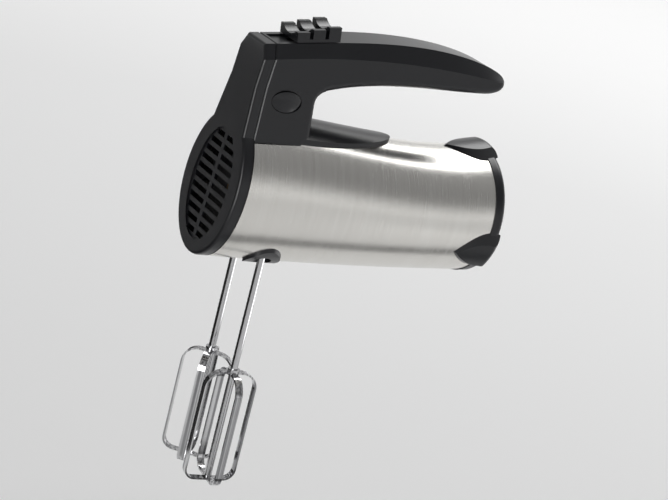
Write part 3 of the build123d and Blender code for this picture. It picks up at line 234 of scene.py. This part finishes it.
BRUSH_LINES = (2600.0, 45.0, 45.0)
BRUSH_BANDS = (210.0, 5.0, 5.0)
BRUSH_RELIEF = 0.00004
SMUDGES = even(24.0)
SLEEVE_DARK, SLEEVE_LIGHT = (0.68, 0.66, 0.62), (0.88, 0.87, 0.84)
steel, wire, shader = finish("brushed_sheet", Metallic=1.0)
lines = grain(wire, BRUSH_LINES, detail=4.0)
bands = grain(wire, BRUSH_BANDS, detail=2.0)
smudge = picked(grain(wire, SMUDGES), (0.45, 0.0), (0.7, 1.0))
feed(shader, tint(SLEEVE_DARK, SLEEVE_LIGHT, 0.6 * lines + 0.4 * bands), "Base Color")
feed(shader, 0.17 + 0.14 * lines + 0.02 * smudge, "Roughness")
feed(shader, relief(lines, 0.35, BRUSH_RELIEF), "Normal")
wear(steel, "steel_sleeve")

# Handle, front cover, rear cap and collars
# Satin black plastic mouldings with a fine spark grain from the mould, a little polished by hands.
# The cover and the cap clip into the sleeve, the handle is screwed to posts on the gear case.

SPARK_GRAIN = even(2400.0)
SPARK_RELIEF = 0.00005
HAND_POLISH = even(32.0)
BLACK_DEEP, BLACK_WORN = (0.007, 0.0074, 0.0096), (0.013, 0.0137, 0.0175)


def black_plastic(name, rough):
    """Black moulded plastic with a given evenness of its skin."""
    material, wire, shader = finish(name)
    spark = grain(wire, SPARK_GRAIN)
    polish = grain(wire, HAND_POLISH)
    feed(shader, tint(BLACK_DEEP, BLACK_WORN, 0.6 * spark + 0.4 * polish), "Base Color")
    feed(shader, rough + 0.08 * spark + 0.08 * polish, "Roughness")
    feed(shader, relief(spark, 0.16, SPARK_RELIEF), "Normal")
    return material


satin_black = black_plastic("satin_black", 0.22)
wear(satin_black, "front_cover", "handle_body", "handle_top", "rear_cap")
wear(satin_black, "left_socket_collar", "right_socket_collar")

# Speed slide and release button
# The two pieces that fingers rub are moulded smoother than the handle round them, in which they slide.

smooth_black = black_plastic("smooth_black", 0.16)
wear(smooth_black, "eject_button", "speed_slide")

# Cord gland
# A soft black bush, moulded in one piece and pushed into the inlet of the heel, which it lines.

SOFT_DARK, SOFT_LIGHT = (0.01, 0.01, 0.01), (0.02, 0.02, 0.02)
soft_black = inner_finish("soft_black", SOFT_DARK, SOFT_LIGHT, 0.55, even(1500.0))
wear(soft_black, "cord_gland")

# Beaters
# Plated steel: a drawn rod and two loops of flat strip pressed together under a small hub. They push
# into the spindles and are bright all over, with faint handling marks.

DIE_LINES_AND_PAINTED_STREAKS = (650.0, 650.0, 5.0)
DRAWN_RELIEF = 0.00002
HANDLING_MARKS = even(90.0)
ROD_DULL, ROD_BRIGHT = (0.55, 0.55, 0.56), (0.66, 0.66, 0.67)
# The strip's two greys lie far apart, so its lines show as dark and bright streaks of painted
# reflection.
STRIP_PAINTED_DARK_STREAK, STRIP_PAINTED_BRIGHT_STREAK = (0.24, 0.24, 0.25), (0.78, 0.78, 0.79)


def chrome(name, dull, bright):
    """Bright plating between two greys, in lines along the beater: die lines that the drawing left under
    it, and where the greys lie far apart, streaks of painted reflection.
    """
    material, wire, shader = finish(name, Metallic=1.0)
    marks = grain(wire, HANDLING_MARKS, detail=5.0)
    drawn_lines_and_painted_streaks = picked(grain(wire, DIE_LINES_AND_PAINTED_STREAKS, detail=1.0), (0.4, 0.0), (0.62, 1.0))
    feed(shader, tint(dull, bright, 0.8 * drawn_lines_and_painted_streaks + 0.2 * marks), "Base Color")
    feed(shader, 0.05 + 0.06 * marks + 0.05 * drawn_lines_and_painted_streaks, "Roughness")
    feed(shader, relief(drawn_lines_and_painted_streaks, 0.08, DRAWN_RELIEF), "Normal")
    return material


rod_chrome = chrome("rod_chrome", ROD_DULL, ROD_BRIGHT)
strip_chrome = chrome("strip_chrome", STRIP_PAINTED_DARK_STREAK, STRIP_PAINTED_BRIGHT_STREAK)
for side in ("left", "right"):
    wear(rod_chrome, f"{side}_beater_shaft", f"{side}_beater_hub")
    wear(strip_chrome, f"{side}_beater_outer_loop", f"{side}_beater_inner_loop")

# Floor
# A wide pale floor, low enough for the beaters to be pulled out above it. Far from the mixer it glows
# to the camera and in mirrored light, so that it stays pale up to the horizon.

FLOOR_HALF = 9.0
FLOOR_GAP = 0.002
FLOOR_SQUARE = ((-1, -1), (1, -1), (1, 1), (-1, 1))
ONE_FACE = [(0, 1, 2, 3)]
FAR_GLOW = ((0.14, 0.0), (0.6, 0.45))
joints = frame["record"]["behaviour"]["joints"]
travel = {joint["name"]: joint["range_m"][1] for joint in joints if "range_m" in joint}
floor_z = cad_box[0][2] - travel["left_pin_push"] - travel["left_beater_pull"] - FLOOR_GAP


def plain_grey(level):
    """A grey of a given level as a colour."""
    return level, level, level, 1.0


def flat(name, corners, faces, *materials):
    """A flat thing of the studio from its corners and faces, with one material for each face."""
    mesh = bpy.data.meshes.new(name)
    mesh.from_pydata(corners, [], faces)
    for index, material in enumerate(materials):
        mesh.materials.append(material)
        mesh.polygons[index].material_index = index
    thing = bpy.data.objects.new(name, mesh)
    bpy.context.collection.objects.link(thing)
    return thing


pale_floor, wire, shader = finish("pale_floor", Base_Color=plain_grey(0.9), Specular_IOR_Level=0.0,
                                  Emission_Strength=1.0)
spot = wire.node("NewGeometry", out="Position")
distance = wire.node("VectorMath", {"operation": "LENGTH"}, {0: spot}, out="Value")
far = picked(distance * (1.0 / FLOOR_HALF), *FAR_GLOW)
to_camera = wire.node("LightPath", out="Is Camera Ray")
mirrored = wire.node("LightPath", out="Is Glossy Ray")
through_glass = wire.node("LightPath", out="Is Transmission Ray")
feed(shader, far * (to_camera + mirrored + through_glass), "Emission Color")
floor_corners = [(x * FLOOR_HALF, y * FLOOR_HALF, floor_z) for x, y in FLOOR_SQUARE]
floor = flat("floor", floor_corners, ONE_FACE, pale_floor)

# Sky
# Soft light from all round, brightest near the floor and behind the mixer, and a little darker on
# its left, as a screen would leave it.

TURN = radians(31.5)
SKY_BY_HEIGHT = ((0.0, 0.82), (0.1, 0.66), (0.32, 0.26), (0.5, 0.24), (1.0, 0.3))
BACK_GLOW = ((0.25, 0.0), (0.8, 0.25))
SCREEN = ((0.3, 0.0), (0.62, 0.2))
world = bpy.data.worlds.new("studio")
bpy.context.scene.world = world
world.use_nodes = True
sky = Wire(world.node_tree)
spot = sky.node("TexCoord", out="Generated")
along, across, height = (sky.node("SeparateXYZ", {}, {0: spot}, out=axis) for axis in range(3))
leftward = across * sin(TURN) - along * cos(TURN)
backward = along * sin(TURN) + across * cos(TURN)
level = picked(height, *SKY_BY_HEIGHT)
glow = picked(backward, *BACK_GLOW)
screen = picked(leftward, *SCREEN)
feed(world.node_tree.nodes["Background"], (level + glow) * (1.0 - screen), "Color")

# Cards
# Two cards that show only in what the mixer mirrors. One stands on its left, black low down and grey
# above, and gives bright metal dark edges. One lies on the floor under the mixer, a dark sheet in place
# of its shadow, and draws the thin line of painted shadow low on the steel.

FLAG_LEFT, FLAG_FRONT, FLAG_BACK = 0.2, -0.2, 0.6
FLAG_SPLIT, FLAG_TOP = -0.19, -0.01
FLAG_FACES = [(0, 1, 3, 2), (2, 3, 5, 4)]
SHADOW_LINE_CORNERS = ((-0.08, -0.145), (0.34, -0.175), (0.34, -0.095), (-0.08, -0.075))
SHADOW_LINE_LIFT = 0.001


def around(leftward, backward, height):
    """A place in the studio by its distances to the left of the mixer, behind it and above the grip."""
    along = backward * sin(TURN) - leftward * cos(TURN)
    across = backward * cos(TURN) + leftward * sin(TURN)
    return Vector((along, across, height))


def card_paint(name, level):
    """Matt grey paint for a card."""
    return finish(name, Roughness=0.8, Base_Color=plain_grey(level))[0]


def only_mirrored(card):
    """Hides a card from all light but mirrored light."""
    card.visible_camera = False
    card.visible_diffuse = False
    card.visible_shadow = False
    card.visible_transmission = False


flag_corners = [around(FLAG_LEFT, depth, rise) for rise in (floor_z, FLAG_SPLIT, FLAG_TOP)
                for depth in (FLAG_FRONT, FLAG_BACK)]
black_card = card_paint("black_card", 0.02)
grey_card = card_paint("grey_card", 0.4)
flag = flat("flag", flag_corners, FLAG_FACES, black_card, grey_card)
only_mirrored(flag)
# A dark sheet on the floor under the mixer, in place of its shadow: the thin line of painted shadow low
# on the steel.
shadow_line_corners = [(x, y, floor_z + SHADOW_LINE_LIFT) for x, y in SHADOW_LINE_CORNERS]
painted_shadow_line = flat("painted_shadow_line", shadow_line_corners, ONE_FACE, card_paint("painted_shadow_card", 0.2))
only_mirrored(painted_shadow_line)

# Lamps
# A large soft lamp behind and above the mixer, a strip in front on the left, and a low strip on the
# right whose narrow beam stays on the beaters. The strips only light what is glossy.

MIDDLE = around(0.0, 0.0, -0.1)
LOW_STRIP_Z = -0.283
WIDE_BEAM, NARROW_BEAM = radians(180.0), radians(80.0)


def lamp(name, spot, aim, size, power, lights_all=True, beam=WIDE_BEAM):
    """A soft lamp at a spot, turned to its aim, which lights all or only what is glossy."""
    light = bpy.data.lights.new(name, "AREA")
    light.shape = "RECTANGLE"
    light.size, light.size_y = size
    light.energy = power
    light.spread = beam
    holder = bpy.data.objects.new(name, light)
    holder.location = spot
    holder.rotation_euler = (aim - spot).to_track_quat("-Z", "Y").to_euler()
    holder.visible_camera = False
    holder.visible_diffuse = lights_all
    bpy.context.collection.objects.link(holder)


lamp("key", around(-0.96, 2.24, 3.1), MIDDLE, (3.2, 2.24), 102.0)
lamp("strip", around(0.45, -0.9, -0.05), MIDDLE, (0.4, 0.6), 3.6, lights_all=False)
lamp("low_strip", around(-0.3, 0.1, LOW_STRIP_Z), around(0.0, 0.05, LOW_STRIP_Z), (0.5, 0.12), 0.11,
     lights_all=False, beam=NARROW_BEAM)

# Camera
# It stands in front of the release side, above the mixer, and is turned so that the mixer leans
# back as it does when it is held up by the grip.

PHOTO_WIDTH = 668.0
FOCAL_PIXELS = 1990.0
SENSOR = 36.0
EYE = Vector((-0.70384, -1.08564, 0.26449))
RISE, PITCH, ROLL = (radians(angle) for angle in (18.93, 3.1, 11.8))
back = Vector((-sin(TURN) * cos(RISE), -cos(TURN) * cos(RISE), sin(RISE)))
right = Vector((cos(TURN), -sin(TURN), 0.0))
axes = Matrix((right, back.cross(right), back)).transposed()
axes = Matrix.Rotation(-PITCH, 3, "Y") @ axes @ Matrix.Rotation(ROLL, 3, "Z")
lens = bpy.data.cameras.new("camera")
lens.sensor_width = SENSOR
lens.lens = FOCAL_PIXELS / PHOTO_WIDTH * SENSOR
camera = bpy.data.objects.new("camera", lens)
camera.matrix_world = Matrix.Translation(EYE) @ axes.to_4x4()
bpy.context.collection.objects.link(camera)
bpy.context.scene.camera = camera
bpy.context.scene.view_settings.view_transform = "Standard"
